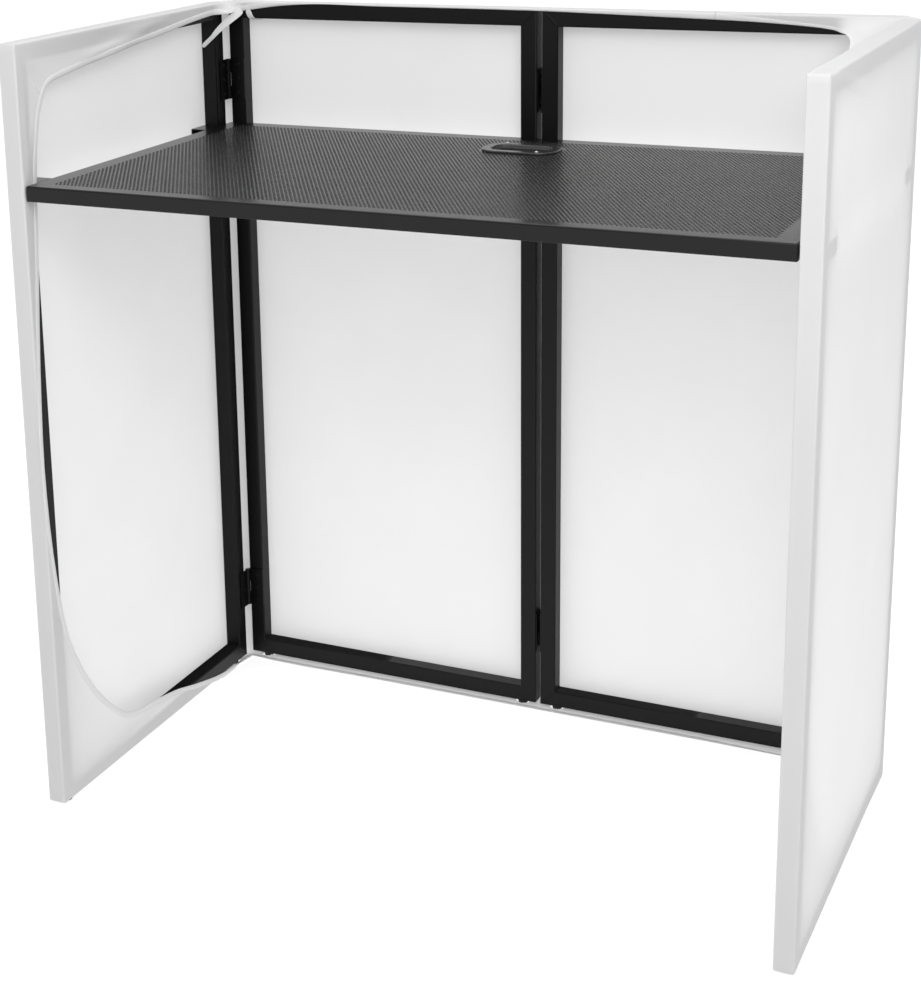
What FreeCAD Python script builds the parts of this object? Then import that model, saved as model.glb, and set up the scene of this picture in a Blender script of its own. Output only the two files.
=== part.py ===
import FreeCAD
import Part
import os

# Portable folding booth: four hinged frames of square steel tube in a stretch cover, and a
# steel table that hangs between the side frames. Millimetres, +Z up, +Y towards the audience,
# the operator stands on the -Y side. The origin is on the floor, under the middle of the box
# that the booth fills.

os.makedirs("parts", exist_ok=True)
doc = FreeCAD.newDocument("Booth")
vec = FreeCAD.Vector
right = vec(1, 0, 0)
back = vec(0, 1, 0)
up = vec(0, 0, 1)

size = {
    # welded frames
    "tube_side": 25.0,
    "tube_wall": 1.5,
    "frame_height": 1100.0,
    "side_length": 556.0,
    "inner_width": 1036.0,  # clear width between the side frames
    "front_inset": 1.5,  # front frames end this far inside the side frames' inner faces
    "corner_gap": 16.5,  # from a side frame's far end to the front frames' inner faces
    "centre_gap": 8.0,  # between the two front frames
    # feet
    "foot_height": 7.0,
    "foot_diameter": 17.0,
    "foot_taper": 1.0,
    "foot_inset": 25.0,  # from a frame's end to the middle of its foot
    # butt hinges at the two corners
    "hinge_height": 63.0,
    "hinge_from_end": 120.0,  # from the middle of a hinge to the frame's top or bottom
    "leaf_width": 26.0,  # from the pin to the leaf's free edge
    "leaf_thickness": 2.0,
    "knuckle_diameter": 8.0,
    "knuckle_gap": 0.5,
    "pin_diameter": 4.0,
    "pin_clearance": 0.1,
    "pin_standoff": 6.0,  # from the front frames' inner faces to the corner pins
    # butt hinges between the front frames
    "centre_leaf_width": 24.0,
    "centre_leaf_thickness": 1.5,
    "centre_knuckle_diameter": 6.0,
    "centre_pin_diameter": 3.0,
    "centre_pin_standoff": 2.0,  # from the front frames' outer faces to the centre pins
    # hinge screws
    "screw_head_diameter": 6.0,
    "screw_head_height": 1.0,
    "screw_spacing": 22.5,
    # table
    "table_drop": 188.0,  # top of the table below the frames' top
    "table_apron": 21.0,
    "table_sheet": 2.0,
    "table_bend": 2.5,
    "table_side_gap": 3.0,
    "table_rear_gap": 6.0,
    "table_near_gap": 0.5,
    "perforation_diameter": 44.0,
    "perforation_pitch": 84.0,
    "perforation_border": 30.0,  # least width of whole sheet along the table's edges
    "bracket_length": 42.0,
    "bracket_height": 20.0,
    "ledge_thickness": 3.0,
    "ledge_reach": 22.0,
    "ledge_setback": 12.0,  # from the post to the ledge's near end
    "table_seat_gap": 0.3,  # between the table's apron and the ledges
    # cable grommet
    "grommet_length": 114.0,
    "grommet_width": 74.0,
    "grommet_round": 30.0,
    "grommet_rim": 15.0,
    "grommet_rise": 3.0,
    "grommet_wall": 2.5,
    "grommet_depth": 2.5,
    "grommet_offset": 13.0,  # to the right of the table's middle
    "grommet_from_rear": 99.0,  # from the table's rear edge to the grommet's middle
    "grommet_clearance": 0.3,
    "grommet_screw_diameter": 5.0,
    "grommet_screw_height": 1.5,
    # stretch cover
    "cover_thickness": 1.2,
    "cover_lift": 0.5,  # cover's lowest edge above the floor
    "cover_foot_clearance": 0.5,
    "top_flap_far": 16.0,  # depth of the side cover's inner flap below the frame's top
    "top_flap_near": 59.0,
    "top_pocket": 77.0,  # reach of the pocket at the near top corner
    "near_flap_upper": 30.0,
    "near_flap_middle": 8.0,
    "near_flap_lower": 20.0,
    "upper_pocket_drop": 190.0,
    "lower_pocket_height": 330.0,
    "bottom_pocket": 182.0,  # reach of the pocket at the near bottom corner
    "bottom_flap_near": 57.0,
    "bottom_flap_middle": 40.0,
    "bottom_flap_reach": 470.0,
    "front_flap": 3.0,
    "front_flap_left": 17.0,
    "front_flap_left_reach": 115.0,
    "front_flap_right": 30.0,
    "front_flap_right_reach": 420.0,
    "front_hem_reach": 10.0,  # how far the front cover's bottom hem comes in under the rail
    # elastic tie straps
    "strap_width": 9.0,
    "strap_thickness": 1.0,
    "strap_drop": 55.0,
    "strap_slope": 14.0,
}

sheet = doc.addObject("Spreadsheet::Sheet", "Sizes")
for row, (alias, value) in enumerate(size.items(), start=1):
    sheet.set("A%d" % row, alias)
    sheet.set("B%d" % row, str(value))
    sheet.setAlias("B%d" % row, alias)
doc.recompute()

# places that follow from the sizes
tube = size["tube_side"]
inner_half = size["inner_width"] / 2
outer_half = inner_half + tube
front_half = inner_half - size["front_inset"]
centre_half = size["centre_gap"] / 2
cover = size["cover_thickness"]
reach_near = size["corner_gap"] + size["side_length"]
reach_far = tube + size["centre_pin_standoff"] + size["centre_knuckle_diameter"] / 2
front_inner = (reach_near + cover - reach_far) / 2
front_outer = front_inner + tube
side_far = front_inner - size["corner_gap"]
side_near = side_far - size["side_length"]
frame_bottom = size["foot_height"]
frame_top = frame_bottom + size["frame_height"]
table_top = frame_top - size["table_drop"]
table_bottom = table_top - size["table_apron"]
table_rear = front_inner - size["table_rear_gap"]
table_near = side_near + size["table_near_gap"]
table_half = inner_half - size["table_side_gap"]
hinge_levels = [frame_top - size["hinge_from_end"], frame_bottom + size["hinge_from_end"]]
corner_pin_x = inner_half - size["leaf_thickness"] / 2
corner_pin_y = front_inner - size["pin_standoff"]
centre_pin_y = front_outer + size["centre_pin_standoff"]

nodes = []


def bind(thing, **formulas):
    # ties each property to a formula of the sheet's cells
    for name, formula in formulas.items():
        thing.setExpression(name, formula)


def turned(at, along, across):
    # placement whose own X runs along, and whose own Y runs across
    rotation = FreeCAD.Rotation(along, across, along.cross(across), "ZXY")
    return FreeCAD.Placement(at, rotation)


def node(label, thing):
    thing.Label = label
    nodes.append(thing)
    return thing


def block(length, width, height, at=vec(0, 0, 0)):
    made = doc.addObject("Part::Box", "Block")
    bind(made, Length=length, Width=width, Height=height)
    made.Placement.Base = at
    return made


def rod(diameter, height, at=vec(0, 0, 0)):
    made = doc.addObject("Part::Cylinder", "Rod")
    bind(made, Radius="(%s) / 2" % diameter, Height=height)
    made.Placement.Base = at
    return made


def joined(pieces):
    made = doc.addObject("Part::MultiFuse", "Joined")
    made.Shapes = pieces
    made.Refine = True
    return made


def cut_away(base, tool):
    made = doc.addObject("Part::Cut", "CutAway")
    made.Base = base
    made.Tool = tool
    return made


def group(label, pieces):
    made = doc.addObject("Part::Compound", "Group")
    made.Links = pieces
    return node(label, made)


def tube_run(label, length, at, along, inward):
    # one mitred side of a welded frame: long on the outside, short on the inside
    outer = doc.addObject("Part::Wedge", "Mitred")
    side = "Sizes.tube_side"
    bind(outer, Xmin="0", Xmax=length, Ymin="0", Ymax=side, Zmin="0", Zmax=side)
    bind(outer, X2min=side, X2max="%s - %s" % (length, side), Z2min="0", Z2max=side)
    clear = "Sizes.tube_side - 2 * Sizes.tube_wall"
    bore = block(length, clear, clear, vec(0, size["tube_wall"], size["tube_wall"]))
    made = cut_away(outer, bore)
    made.Placement = turned(at, along, inward)
    return node(label, made)


def frame(name, ends, length, start, span):
    # welded frame from a bottom corner over a span; ends names its two posts
    corner = start + span
    along = vec(span).normalize()
    height = "Sizes.frame_height"
    rise = up * size["frame_height"]
    tube_run(name + "_bottom_rail", length, start, along, up)
    tube_run(name + "_top_rail", length, corner + rise, -along, -up)
    tube_run(name + "_%s_post" % ends[0], height, start + rise, -up, along)
    tube_run(name + "_%s_post" % ends[1], height, corner, up, -along)


def feet(name, spots):
    pieces = []
    for x, y in spots:
        foot = doc.addObject("Part::Cone", "Foot")
        bind(
            foot,
            Radius1="Sizes.foot_diameter / 2 - Sizes.foot_taper",
            Radius2="Sizes.foot_diameter / 2",
            Height="Sizes.foot_height",
        )
        foot.Placement.Base = vec(x, y, 0)
        pieces.append(foot)
    group(name + "_feet", pieces)


def foot_holes(spots):
    # holes that let the feet through the cover
    pieces = []
    for x, y in spots:
        hole = rod(
            "Sizes.foot_diameter + 2 * Sizes.cover_foot_clearance",
            "Sizes.foot_height",
            vec(x, y, 0),
        )
        pieces.append(hole)
    return joined(pieces)


def hinge_leaf(word, offset, arm_width, outer, place):
    # plate beside the pin at a given offset, with arms and knuckles in the outer thirds of its
    # height or in the middle one; word starts the names of the sizes of this kind of hinge
    knuckle = size[word + "knuckle_diameter"] / 2
    plate_start = knuckle + size["knuckle_gap"]
    height = size["hinge_height"]
    low = min(offset, 0.0)
    plate = block(
        "Sizes.%sleaf_width - Sizes.%sknuckle_diameter / 2 - Sizes.knuckle_gap" % (word, word),
        "Sizes.%sleaf_thickness" % word,
        "Sizes.hinge_height",
        vec(plate_start, offset, -height / 2),
    )
    pieces = [plate]
    tall = "Sizes.hinge_height / 3 - Sizes.knuckle_gap"
    arm_length = "Sizes.%sknuckle_diameter / 2 + Sizes.knuckle_gap" % word
    for third in (0, 2) if outer else (1,):
        base = -height / 2 + third * height / 3 + size["knuckle_gap"] / 2
        pieces.append(block(arm_length, arm_width, tall, vec(0, low, base)))
        pieces.append(rod("Sizes.%sknuckle_diameter" % word, tall, vec(0, 0, base)))
    hole = rod(
        "Sizes.%spin_diameter + 2 * Sizes.pin_clearance" % word,
        "Sizes.hinge_height",
        vec(0, 0, -height / 2),
    )
    made = cut_away(joined(pieces), hole)
    made.Placement = place
    return made


def hinge_pin(word, x, y, level):
    return rod(
        "Sizes.%spin_diameter" % word,
        "Sizes.hinge_height",
        vec(x, y, level - size["hinge_height"] / 2),
    )


def screw_heads(face, normal):
    # three heads on a hinge leaf; face is the middle of its outer surface
    pieces = []
    for step in (-1, 0, 1):
        head = rod("Sizes.screw_head_diameter", "Sizes.screw_head_height")
        spot = face + up * (step * size["screw_spacing"])
        head.Placement = FreeCAD.Placement(spot, FreeCAD.Rotation(up, normal))
        pieces.append(head)
    return pieces


def flap(points, at, along, across):
    # thin piece of cover with the outline given by points, as thick as the cover
    corners = [vec(x, y, 0) for x, y in points]
    outline = Part.makePolygon(corners + corners[:1])
    made = doc.addObject("Part::Feature", "Flap")
    made.Shape = Part.Face(outline).extrude(vec(0, 0, cover))
    made.Placement = turned(at, along, across)
    return made


# the two front frames
front_length = "Sizes.inner_width / 2 - Sizes.front_inset - Sizes.centre_gap / 2"
front_span = front_half - centre_half
left_start = vec(-front_half, front_outer, frame_bottom)
right_start = vec(centre_half, front_outer, frame_bottom)
frame("front_left", ("outer", "inner"), front_length, left_start, right * front_span)
frame("front_right", ("inner", "outer"), front_length, right_start, right * front_span)

# the two side frames
side_length = "Sizes.side_length"
side_span = back * size["side_length"]
left_start = vec(-outer_half, side_near, frame_bottom)
right_start = vec(inner_half, side_near, frame_bottom)
frame("left_side", ("near", "far"), side_length, left_start, side_span)
frame("right_side", ("near", "far"), side_length, right_start, side_span)

# feet under the bottom rails
inset = size["foot_inset"]
front_foot_y = front_inner + tube / 2
side_foot_x = inner_half + tube / 2
spots = {
    "front_left": [(-front_half + inset, front_foot_y), (-centre_half - inset, front_foot_y)],
    "front_right": [(centre_half + inset, front_foot_y), (front_half - inset, front_foot_y)],
    "left_side": [(-side_foot_x, side_near + inset), (-side_foot_x, side_far - inset)],
    "right_side": [(side_foot_x, side_near + inset), (side_foot_x, side_far - inset)],
}
for name in spots:
    feet(name, spots[name])

# corner hinges: the fixed leaf lies on the front frame's inner face and carries the outer
# knuckles, the moving leaf lies on the side frame's inner face and carries the middle one
fixed_offset = size["pin_standoff"] - size["leaf_thickness"]
moving_offset = -size["leaf_thickness"] / 2
leaf_middle = (size["leaf_width"] + size["knuckle_diameter"] / 2 + size["knuckle_gap"]) / 2
screws = {"front_left": [], "front_right": [], "left_side": [], "right_side": []}
for hand, sign in (("left", -1), ("right", 1)):
    fixed = []
    moving = []
    pins = []
    for level in hinge_levels:
        pin_at = vec(sign * corner_pin_x, corner_pin_y, level)
        # the fixed leaf runs towards the middle of the booth and the moving leaf towards the
        # operator; on the right the own Z axis points down, so that the offset keeps its side
        fixed_place = turned(pin_at, right * -sign, back)
        moving_place = turned(pin_at, -back, right)
        fixed.append(
            hinge_leaf("", fixed_offset, "Sizes.pin_standoff", True, fixed_place)
        )
        moving.append(
            hinge_leaf("", moving_offset, "Sizes.leaf_thickness", False, moving_place)
        )
        pins.append(hinge_pin("", pin_at.x, pin_at.y, level))
        fixed_face = pin_at + right * (-sign * leaf_middle) + back * fixed_offset
        moving_face = pin_at - back * leaf_middle + right * (sign * moving_offset)
        screws["front_" + hand] += screw_heads(fixed_face, -back)
        screws[hand + "_side"] += screw_heads(moving_face, right * -sign)
    group(hand + "_corner_fixed_leaves", fixed)
    group(hand + "_corner_moving_leaves", moving)
    group(hand + "_corner_pins", pins)

# centre hinges: leaves on the front frames' facing ends, pins on the audience side
left_leaves = []
right_leaves = []
pins = []
centre_thick = size["centre_leaf_thickness"]
centre_middle = (
    size["centre_leaf_width"] + size["centre_knuckle_diameter"] / 2 + size["knuckle_gap"]
) / 2
for level in hinge_levels:
    pin_at = vec(0, centre_pin_y, level)
    place = turned(pin_at, -back, right)
    arm_width = "Sizes.centre_gap / 2"
    right_offset = centre_half - centre_thick
    left_leaves.append(hinge_leaf("centre_", -centre_half, arm_width, True, place))
    right_leaves.append(hinge_leaf("centre_", right_offset, arm_width, False, place))
    pins.append(hinge_pin("centre_", 0, centre_pin_y, level))
    face = pin_at - back * centre_middle
    face_step = right * right_offset
    screws["front_left"] += screw_heads(face - face_step, right)
    screws["front_right"] += screw_heads(face + face_step, -right)
group("centre_left_leaves", left_leaves)
group("centre_right_leaves", right_leaves)
group("centre_pins", pins)
for name in screws:
    group(name + "_hinge_screws", screws[name])

# table brackets: a stub of flatter tube on each side post, with a ledge welded under it that
# reaches in below the table's apron
bracket = size["bracket_length"]
ledge_top = table_bottom - size["table_seat_gap"]
clear = "Sizes.%s - 2 * Sizes.tube_wall"
for hand, sign in (("left", -1), ("right", 1)):
    stub_x = -outer_half if sign < 0 else inner_half
    ledge_x = -outer_half if sign < 0 else inner_half - size["ledge_reach"]
    near_start = side_near + tube
    far_start = side_far - tube - bracket
    stubs = []
    ledges = []
    for start, ledge_start in (
        (near_start, near_start + size["ledge_setback"]),
        (far_start, far_start),
    ):
        solid = block("Sizes.tube_side", "Sizes.bracket_length", "Sizes.bracket_height")
        bore = block(clear % "tube_side", "Sizes.bracket_length", clear % "bracket_height")
        bore.Placement.Base = vec(size["tube_wall"], 0, size["tube_wall"])
        stub = cut_away(solid, bore)
        stub.Placement.Base = vec(stub_x, start, ledge_top)
        stubs.append(stub)
        ledge = block(
            "Sizes.tube_side + Sizes.ledge_reach",
            "Sizes.bracket_length - Sizes.ledge_setback",
            "Sizes.ledge_thickness",
            vec(ledge_x, ledge_start, ledge_top - size["ledge_thickness"]),
        )
        ledges.append(ledge)
    group(hand + "_bracket_stubs", stubs)
    group(hand + "_bracket_ledges", ledges)


def rounded(thing, radius, top_too):
    # fillet on the upright edges of a box, and on its top edges too if asked
    doc.recompute()
    made = doc.addObject("Part::Fillet", "Rounded")
    made.Base = thing
    middle = thing.Shape.BoundBox.Center.z
    picked = []
    for number, edge in enumerate(thing.Shape.Edges, start=1):
        low = edge.BoundBox.ZMin
        high = edge.BoundBox.ZMax
        if low < middle < high or (top_too and low > middle):
            picked.append((number, radius, radius))
    made.Edges = picked
    return made


# table: one sheet folded down all round
table_width = "Sizes.inner_width - 2 * Sizes.table_side_gap"
table_depth = (
    "Sizes.side_length + Sizes.corner_gap - Sizes.table_rear_gap - Sizes.table_near_gap"
)
shell = block(table_width, table_depth, "Sizes.table_apron")
shell.Placement.Base = vec(-table_half, table_near, table_bottom)
shell = rounded(shell, size["table_bend"], True)
thick = size["table_sheet"]
hollow = block(
    table_width + " - 2 * Sizes.table_sheet",
    table_depth + " - 2 * Sizes.table_sheet",
    "Sizes.table_apron - Sizes.table_sheet",
)
hollow.Placement.Base = vec(-table_half + thick, table_near + thick, table_bottom)
hollow = rounded(hollow, size["table_bend"] - thick, True)
port = vec(size["grommet_offset"], table_rear - size["grommet_from_rear"], table_top)


def port_block(shrink, height, top):
    # rounded block round the cable port, smaller than the grommet's rim on every side
    made = block(
        "Sizes.grommet_length - 2 * (%s)" % shrink,
        "Sizes.grommet_width - 2 * (%s)" % shrink,
        height,
    )
    doc.recompute()
    reduced = (size["grommet_length"] - made.Length.Value) / 2
    base = vec(made.Length.Value / 2, made.Width.Value / 2, made.Height.Value - top)
    made.Placement.Base = port - base
    return rounded(made, size["grommet_round"] - reduced, False)


rim_shrink = "Sizes.grommet_rim - Sizes.grommet_wall"
hole = port_block(
    rim_shrink + " - Sizes.grommet_clearance", "2 * Sizes.table_apron", size["table_apron"]
)


def perforation():
    # round openings in straight rows, far coarser and fewer than the real sheet's fine holes;
    # the sheet stays whole under the grommet
    wide = size["perforation_diameter"]
    pitch = size["perforation_pitch"]
    margin = 2 * size["perforation_border"] + wide
    columns = int((2 * table_half - margin) / pitch)
    rows = int((table_rear - table_near - margin) / pitch)
    first_y = (table_near + table_rear - rows * pitch) / 2
    openings = []
    for column in range(columns + 1):
        for row in range(rows + 1):
            at = vec((column - columns / 2) * pitch, first_y + row * pitch, table_top - 2 * thick)
            beside = abs(at.x - port.x) > (size["grommet_length"] + wide) / 2
            before = abs(at.y - port.y) > (size["grommet_width"] + wide) / 2
            if beside or before:
                openings.append(rod("Sizes.perforation_diameter", "3 * Sizes.table_sheet", at))
    made = doc.addObject("Part::Compound", "Perforation")
    made.Links = openings
    return made


pan = cut_away(cut_away(shell, hollow), hole)
node("table_pan", cut_away(pan, perforation()))

# grommet: a rim on the table and a sleeve down through it
rim = port_block("0", "Sizes.grommet_rise", size["grommet_rise"])
sleeve = port_block(rim_shrink, "Sizes.grommet_depth", 0)
opening = port_block(
    "Sizes.grommet_rim", "2 * Sizes.grommet_depth + Sizes.grommet_rise", size["grommet_rise"]
)
node("cable_grommet", cut_away(joined([rim, sleeve]), opening))
pieces = []
for sign in (-1, 1):
    spot = port + up * size["grommet_rise"]
    spot += right * (sign * (size["grommet_length"] - size["grommet_rim"]) / 3)
    spot -= back * (sign * (size["grommet_width"] - size["grommet_rim"]) / 2)
    pieces.append(rod("Sizes.grommet_screw_diameter", "Sizes.grommet_screw_height", spot))
group("grommet_screws", pieces)

# side covers: outer sheet, caps over the top, near and bottom edges, and an inner flap whose
# hem leaves the frame's opening free
height = size["frame_height"]
length = size["side_length"]
middle = height / 2
hem = [
    (length, height - size["top_flap_far"]),
    (size["top_pocket"], height - size["top_flap_near"]),
    (size["near_flap_upper"] + tube / 2, height - size["top_flap_near"] - tube),
    (size["near_flap_upper"], height - size["upper_pocket_drop"]),
    (size["near_flap_middle"], middle),
    (size["near_flap_lower"], size["lower_pocket_height"]),
    ((size["near_flap_lower"] + size["bottom_pocket"]) / 3, size["lower_pocket_height"] / 2),
    (size["bottom_pocket"], size["bottom_flap_near"]),
    ((size["bottom_pocket"] + size["bottom_flap_reach"]) / 2, size["bottom_flap_middle"]),
    (size["bottom_flap_reach"], 0.0),
]
side_outline = [(-cover, -cover), (-cover, height + cover), (length, height + cover)]
side_outline += hem + [(size["bottom_flap_reach"], -cover)]
cover_deep = "Sizes.tube_side + 2 * Sizes.cover_thickness"
cover_tall = "Sizes.frame_height + 2 * Sizes.cover_thickness"
cover_long = "Sizes.side_length + Sizes.cover_thickness"
thin = "Sizes.cover_thickness"
for hand, sign in (("left", -1), ("right", 1)):
    low_x = -outer_half - cover if sign < 0 else inner_half - cover
    sheet_x = -outer_half - cover if sign < 0 else outer_half
    flap_x = -inner_half if sign < 0 else inner_half - cover
    start = side_near - cover
    low_z = frame_bottom - cover
    pieces = [
        block(thin, cover_long, cover_tall, vec(sheet_x, start, low_z)),
        block(cover_deep, cover_long, thin, vec(low_x, start, frame_top)),
        block(cover_deep, cover_long, thin, vec(low_x, start, low_z)),
        block(cover_deep, thin, cover_tall, vec(low_x, start, low_z)),
        flap(side_outline, vec(flap_x, side_near, frame_bottom), back, up),
    ]
    name = hand + "_side"
    node(name + "_cover", cut_away(joined(pieces), foot_holes(spots[name])))

# front covers: outer sheet, cap over the top rail, a low flap on its inner face, and a hem
# that comes in under the bottom rail at floor level
hem_depth = "Sizes.tube_side + Sizes.front_hem_reach + Sizes.cover_thickness"
sheet_tall = "Sizes.frame_height + Sizes.foot_height - Sizes.cover_lift + Sizes.cover_thickness"
flap_low = height - size["front_flap"]
left_outline = [
    (0, height + cover),
    (0, height - size["front_flap_left"]),
    (size["front_flap_left_reach"], flap_low),
    (front_span, flap_low),
    (front_span, height + cover),
]
right_outline = [
    (0, height + cover),
    (0, flap_low),
    (front_span - size["front_flap_right_reach"], flap_low),
    (front_span, height - size["front_flap_right"]),
    (front_span, height + cover),
]
for name, low_x, outline in (
    ("front_left", -front_half, left_outline),
    ("front_right", centre_half, right_outline),
):
    pieces = [
        block(front_length, thin, sheet_tall, vec(low_x, front_outer, size["cover_lift"])),
        block(front_length, cover_deep, thin, vec(low_x, front_inner - cover, frame_top)),
        block(
            front_length,
            hem_depth,
            thin,
            vec(low_x, front_inner - size["front_hem_reach"], size["cover_lift"]),
        ),
        flap(outline, vec(low_x, front_inner, frame_bottom), right, up),
    ]
    node(name + "_cover", cut_away(joined(pieces), foot_holes(spots[name])))

# elastic tie straps at the left front corner: each lies round two faces of a post
strap = size["strap_thickness"]
strap_top = frame_top - size["strap_drop"]
drop = size["strap_slope"]
side_strap = [
    block(
        "Sizes.strap_thickness",
        "Sizes.tube_side + Sizes.strap_thickness",
        "Sizes.strap_width",
        vec(-inner_half, side_far - tube - strap, strap_top),
    ),
    block(
        "Sizes.tube_side + Sizes.strap_thickness",
        "Sizes.strap_thickness",
        "Sizes.strap_width + Sizes.strap_slope",
        vec(-outer_half, side_far - tube - strap, strap_top - drop),
    ),
]
node("left_side_strap", joined(side_strap))
front_strap = [
    block(
        "Sizes.tube_side + Sizes.strap_thickness",
        "Sizes.strap_thickness",
        "Sizes.strap_width",
        vec(-front_half, front_inner - strap, strap_top + drop),
    ),
    block(
        "Sizes.strap_thickness",
        "Sizes.tube_side + Sizes.strap_thickness",
        "Sizes.strap_width",
        vec(-front_half + tube, front_inner - strap, strap_top + drop),
    ),
]
node("front_left_strap", joined(front_strap))

doc.recompute()
for thing in doc.Objects:
    if "Invalid" in thing.State or "Error" in thing.State:
        raise RuntimeError("failed: " + thing.Label)
for thing in nodes:
    if thing.Shape.isNull() or not thing.Shape.isValid():
        raise RuntimeError("bad shape: " + thing.Label)
for thing in nodes:
    thing.Shape.exportStep("parts/%s.step" % thing.Label)
    print(thing.Label, len(thing.Shape.Solids), "solids", round(thing.Shape.Volume))
print(len(nodes), "nodes")
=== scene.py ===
import math

import bmesh
import bpy
import numpy as np
from mathutils import Matrix, Vector


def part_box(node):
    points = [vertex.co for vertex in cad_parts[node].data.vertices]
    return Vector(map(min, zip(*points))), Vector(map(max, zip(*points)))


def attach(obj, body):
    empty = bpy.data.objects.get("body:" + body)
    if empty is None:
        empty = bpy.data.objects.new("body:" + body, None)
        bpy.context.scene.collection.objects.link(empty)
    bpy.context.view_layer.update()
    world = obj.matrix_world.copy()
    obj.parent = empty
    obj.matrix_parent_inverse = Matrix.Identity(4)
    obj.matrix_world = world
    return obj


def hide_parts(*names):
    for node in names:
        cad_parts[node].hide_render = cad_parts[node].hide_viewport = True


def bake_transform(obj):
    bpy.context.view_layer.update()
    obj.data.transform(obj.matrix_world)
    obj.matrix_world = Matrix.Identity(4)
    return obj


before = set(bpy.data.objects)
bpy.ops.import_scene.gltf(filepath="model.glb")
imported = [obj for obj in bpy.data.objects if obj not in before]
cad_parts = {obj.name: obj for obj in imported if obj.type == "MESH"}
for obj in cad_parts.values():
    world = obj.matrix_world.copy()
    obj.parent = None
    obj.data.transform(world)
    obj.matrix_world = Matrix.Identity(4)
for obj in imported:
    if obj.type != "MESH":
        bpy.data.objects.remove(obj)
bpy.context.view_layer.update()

print("frame loaded:", len(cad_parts), "nodes")

# places that the pieces share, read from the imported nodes, in metres
postLow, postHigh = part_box("front_left_outer_post")
frontInner, frontOuter = postLow.y, postHigh.y
frameBottom, frameTop = postLow.z, postHigh.z
frontHalf = -postLow.x
tube = frontOuter - frontInner
railLow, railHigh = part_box("right_side_bottom_rail")
innerHalf, outerHalf = railLow.x, railHigh.x
sideNear, sideFar = railLow.y, railHigh.y
centreHalf = -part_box("front_left_inner_post")[1].x
tableLow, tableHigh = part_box("table_pan")
frameBodies = ("front_left", "front_right", "left_side", "right_side")
mm = 0.001
seam = 0.02 * mm  # points closer than this are one


def linear(text):  # sRGB hex to a linear colour
    values = []
    for start in (1, 3, 5):
        value = int(text[start:start + 2], 16) / 255
        values.append(value / 12.92 if value <= 0.04045 else ((value + 0.055) / 1.055) ** 2.4)
    return (*values, 1.0)


def linked(name, data):  # new object in the scene
    piece = bpy.data.objects.new(name, data)
    bpy.context.scene.collection.objects.link(piece)
    return piece


def addNode(tree, kind, values=None, links=None, **settings):
    node = tree.nodes.new(kind)
    for name, value in settings.items():
        setattr(node, name, value)
    for name, value in (values or {}).items():
        node.inputs[name].default_value = value
    for name, socket in (links or {}).items():
        tree.links.new(socket, node.inputs[name])
    return node


def startMaterial(name, sockets):
    material = bpy.data.materials.new(name)
    material.use_nodes = True
    tree = material.node_tree
    tree.nodes.clear()
    shader = addNode(tree, "ShaderNodeBsdfPrincipled", sockets)
    addNode(tree, "ShaderNodeOutputMaterial", links={"Surface": shader.outputs["BSDF"]})
    place = addNode(tree, "ShaderNodeTexCoord").outputs["Object"]
    return material, tree, shader, place


def plug(tree, shader, sockets):
    for name, socket in sockets.items():
        tree.links.new(socket, shader.inputs[name])


def noiseOf(tree, place, sizeMm, detail):  # soft noise with patches of about this size
    return addNode(tree, "ShaderNodeTexNoise", {"Scale": 1000 / sizeMm, "Detail": detail},
                   {"Vector": place}).outputs["Fac"]


def twoTone(tree, amount, look, first="dark", second="light"):  # colour between two hex values
    mix = addNode(tree, "ShaderNodeMix", {6: linear(look[first]), 7: linear(look[second])},
                  {0: amount}, data_type="RGBA")
    return mix.outputs[2]


def rangeOf(tree, value, ends):
    return addNode(tree, "ShaderNodeMapRange", {"To Min": ends[0], "To Max": ends[1]},
                   {"Value": value}).outputs["Result"]


def bumpOf(tree, height, strength, depthMm):
    return addNode(tree, "ShaderNodeBump", {"Strength": strength, "Distance": depthMm * mm},
                   {"Height": height}).outputs["Normal"]


def dotOf(tree, place, direction):
    return addNode(tree, "ShaderNodeVectorMath", {1: direction}, {0: place},
                   operation="DOT_PRODUCT").outputs["Value"]


# steel under sprayed and baked powder: even satin black with a fine orange peel
def powderCoatedSteel(name, look):
    material, tree, shader, place = startMaterial(name, {"Specular IOR Level": look["gloss"]})
    cloud = noiseOf(tree, place, look["cloudMm"], 4.0)
    peel = noiseOf(tree, place, look["peelMm"], 2.0)
    plug(tree, shader, {
        "Base Color": twoTone(tree, cloud, look),
        "Roughness": rangeOf(tree, cloud, look["roughness"]),
        "Normal": bumpOf(tree, peel, look["peelStrength"], look["peelDepthMm"]),
    })
    return material


# orange peel is about 0.5 mm in the real coat, drawn at 1.4 mm so that it shows
frameCoat = powderCoatedSteel("satinPowderCoatedSteel", {
    "dark": "#070707", "light": "#0d0d0d", "gloss": 0.2, "roughness": (0.34, 0.44),
    "cloudMm": 45.0, "peelMm": 1.4, "peelStrength": 0.25, "peelDepthMm": 0.08,
})
tableCoat = powderCoatedSteel("semiGlossPowderCoatedSteel", {
    "dark": "#090909", "light": "#0f0f0f", "gloss": 0.3, "roughness": (0.20, 0.27),
    "cloudMm": 60.0, "peelMm": 1.6, "peelStrength": 0.15, "peelDepthMm": 0.05,
})
hingeCoat = powderCoatedSteel("blackPressedHingeSteel", {
    "dark": "#040404", "light": "#0a0a0a", "gloss": 0.18, "roughness": (0.30, 0.42),
    "cloudMm": 9.0, "peelMm": 0.9, "peelStrength": 0.2, "peelDepthMm": 0.05,
})


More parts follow.
